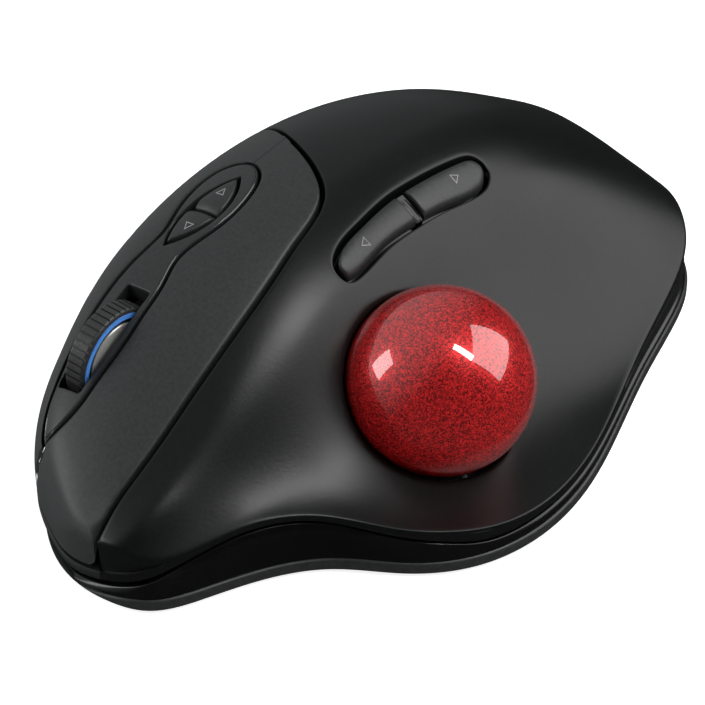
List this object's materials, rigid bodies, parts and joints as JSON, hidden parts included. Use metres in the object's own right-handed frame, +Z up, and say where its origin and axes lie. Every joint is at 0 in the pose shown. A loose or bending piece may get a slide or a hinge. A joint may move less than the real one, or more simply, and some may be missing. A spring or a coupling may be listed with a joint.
{
  "type": "trackball mouse",
  "caption": "Thumb trackball mouse with a red ball in a scooped side, two long keys, a scroll wheel, two small top buttons and a pair of thumb buttons.",
  "frame": {"origin": "centre of the bounding box at the surface the rubber feet stand on", "axes": "+Z up, -Y towards the front edge of the two main keys, +X towards the thumb and the ball"},
  "size_m": [0.0944, 0.1424, 0.0419],
  "materials": {
    "soft_black": "satin soft-touch",
    "island_black": "satin",
    "gloss_black": "gloss",
    "trim_satin": "dark satin",
    "base_black": "satin",
    "inner_black": "matte",
    "inner_white": "matte",
    "ball_red": "metallic glitter under clear gloss",
    "ceramic": "polished",
    "lens": "clear",
    "board_green": "solder mask",
    "tyre_rubber": "ribbed",
    "ring_blue": "bright",
    "hub_dark": "textured",
    "cap_silver": "pearl silver",
    "steel": "bright",
    "cell_jacket": "printed jacket, plain",
    "foot_rubber": "matte"
  },
  "bodies": {
    "housing": {"top_shell": "soft_black", "wheel_island": "island_black", "gloss_wall": "gloss_black", "side_button_bezel": "gloss_black", "island_trim": "trim_satin", "base_plate": "base_black", "battery_tray": "base_black", "ball_cup": "inner_black", "island_frame": "inner_black", "wheel_bracket": "inner_black", "power_switch": "inner_black", "left_microswitch": "inner_black", "right_microswitch": "inner_black", "middle_switch": "inner_black", "dpi_down_switch": "inner_black", "dpi_up_switch": "inner_black", "forward_switch": "inner_black", "back_switch": "inner_black", "controller_chip": "inner_black", "sensor_chip": "inner_black", "board_ribbon": "inner_white", "ball_bearings": "ceramic", "sensor_lens": "lens", "main_board": "board_green", "button_board": "board_green", "side_board": "board_green", "sensor_board": "board_green", "carriage_pin": "steel", "board_screws": "steel", "case_screws": "steel", "positive_contact": "steel", "negative_contact": "steel", "battery": "cell_jacket", "rubber_feet": "foot_rubber"},
    "left_key": {"left_key": "soft_black"},
    "right_key": {"right_key": "soft_black"},
    "left_plunger": {"left_plunger": "inner_white"},
    "right_plunger": {"right_plunger": "inner_white"},
    "carriage": {"wheel_carriage": "inner_white", "encoder_body": "inner_black"},
    "wheel": {"wheel_tyre": "tyre_rubber", "wheel_ring": "ring_blue", "wheel_hub": "hub_dark", "hub_caps": "cap_silver", "wheel_axle": "steel", "encoder_rotor": "inner_white"},
    "middle_plunger": {"middle_plunger": "inner_white"},
    "dpi_up_button": {"dpi_up_button": "soft_black"},
    "dpi_down_button": {"dpi_down_button": "soft_black"},
    "dpi_up_plunger": {"dpi_up_plunger": "inner_white"},
    "dpi_down_plunger": {"dpi_down_plunger": "inner_white"},
    "forward_button": {"forward_button": "soft_black"},
    "back_button": {"back_button": "soft_black"},
    "forward_plunger": {"forward_plunger": "inner_white"},
    "back_plunger": {"back_plunger": "inner_white"},
    "trackball": {"trackball": "ball_red"},
    "power_slider": {"power_slider": "inner_white"},
    "battery_door": {"battery_door": "base_black"}
  },
  "joints": [
    {"name": "left_key_press", "type": "hinge", "parent": "housing", "child": "left_key", "pos_m": [0, 0.002, 0.038], "axis": [1, 0, 0], "range_deg": [0, 0.55], "stiffness_Nm_per_rad": 4},
    {"name": "right_key_press", "type": "hinge", "parent": "housing", "child": "right_key", "pos_m": [0, 0.002, 0.038], "axis": [1, 0, 0], "range_deg": [0, 0.55], "stiffness_Nm_per_rad": 4},
    {"name": "left_plunger_travel", "type": "slide", "parent": "housing", "child": "left_plunger", "axis": [0, 0, -1], "range_m": [0, 0.0005]},
    {"name": "right_plunger_travel", "type": "slide", "parent": "housing", "child": "right_plunger", "axis": [0, 0, -1], "range_m": [0, 0.0005]},
    {"name": "wheel_click", "type": "hinge", "parent": "housing", "child": "carriage", "pos_m": [-0.0261, -0.024, 0.0142], "axis": [1, 0, 0], "range_deg": [0, 1.2], "stiffness_Nm_per_rad": 1.2},
    {"name": "middle_plunger_travel", "type": "slide", "parent": "housing", "child": "middle_plunger", "axis": [0, 0, -1], "range_m": [0, 0.0005]},
    {"name": "wheel_spin", "type": "hinge", "parent": "carriage", "child": "wheel", "pos_m": [-0.0261, -0.0419, 0.0243], "axis": [1, 0, 0], "continuous": true},
    {"name": "dpi_up_press", "type": "slide", "parent": "housing", "child": "dpi_up_button", "axis": [0, 0, -1], "range_m": [0, 0.0004], "stiffness_N_per_m": 1500},
    {"name": "dpi_up_plunger_travel", "type": "slide", "parent": "housing", "child": "dpi_up_plunger", "axis": [0, 0, -1], "range_m": [0, 0.0004]},
    {"name": "dpi_down_press", "type": "slide", "parent": "housing", "child": "dpi_down_button", "axis": [0, 0, -1], "range_m": [0, 0.0004], "stiffness_N_per_m": 1500},
    {"name": "dpi_down_plunger_travel", "type": "slide", "parent": "housing", "child": "dpi_down_plunger", "axis": [0, 0, -1], "range_m": [0, 0.0004]},
    {"name": "forward_press", "type": "slide", "parent": "housing", "child": "forward_button", "axis": [-0.6198, 0, -0.7848], "range_m": [0, 0.0005], "stiffness_N_per_m": 1500},
    {"name": "forward_plunger_travel", "type": "slide", "parent": "housing", "child": "forward_plunger", "axis": [-0.6198, 0, -0.7848], "range_m": [0, 0.0005]},
    {"name": "back_press", "type": "slide", "parent": "housing", "child": "back_button", "axis": [-0.6198, 0, -0.7848], "range_m": [0, 0.0005], "stiffness_N_per_m": 1500},
    {"name": "back_plunger_travel", "type": "slide", "parent": "housing", "child": "back_plunger", "axis": [-0.6198, 0, -0.7848], "range_m": [0, 0.0005]},
    {"name": "ball_roll", "type": "hinge", "parent": "housing", "child": "trackball", "pos_m": [0.0216, -0.0089, 0.021], "axis": [0, 0, 1], "continuous": true},
    {"name": "power_slide", "type": "slide", "parent": "housing", "child": "power_slider", "axis": [0, 1, 0], "range_m": [0, 0.0025]},
    {"name": "battery_door_open", "type": "hinge", "parent": "housing", "child": "battery_door", "pos_m": [-0.011, 0.0395, 0.0006], "axis": [1, 0, 0], "range_deg": [0, 75]}
  ],
  "couplings": [
    {"joint": "left_plunger_travel", "follows": "left_key_press", "m_per_rad": 0.0485},
    {"joint": "right_plunger_travel", "follows": "right_key_press", "m_per_rad": 0.0317},
    {"joint": "middle_plunger_travel", "follows": "wheel_click", "m_per_rad": 0.023},
    {"joint": "dpi_up_plunger_travel", "follows": "dpi_up_press", "ratio": 1},
    {"joint": "dpi_down_plunger_travel", "follows": "dpi_down_press", "ratio": 1},
    {"joint": "forward_plunger_travel", "follows": "forward_press", "ratio": 1},
    {"joint": "back_plunger_travel", "follows": "back_press", "ratio": 1}
  ]
}
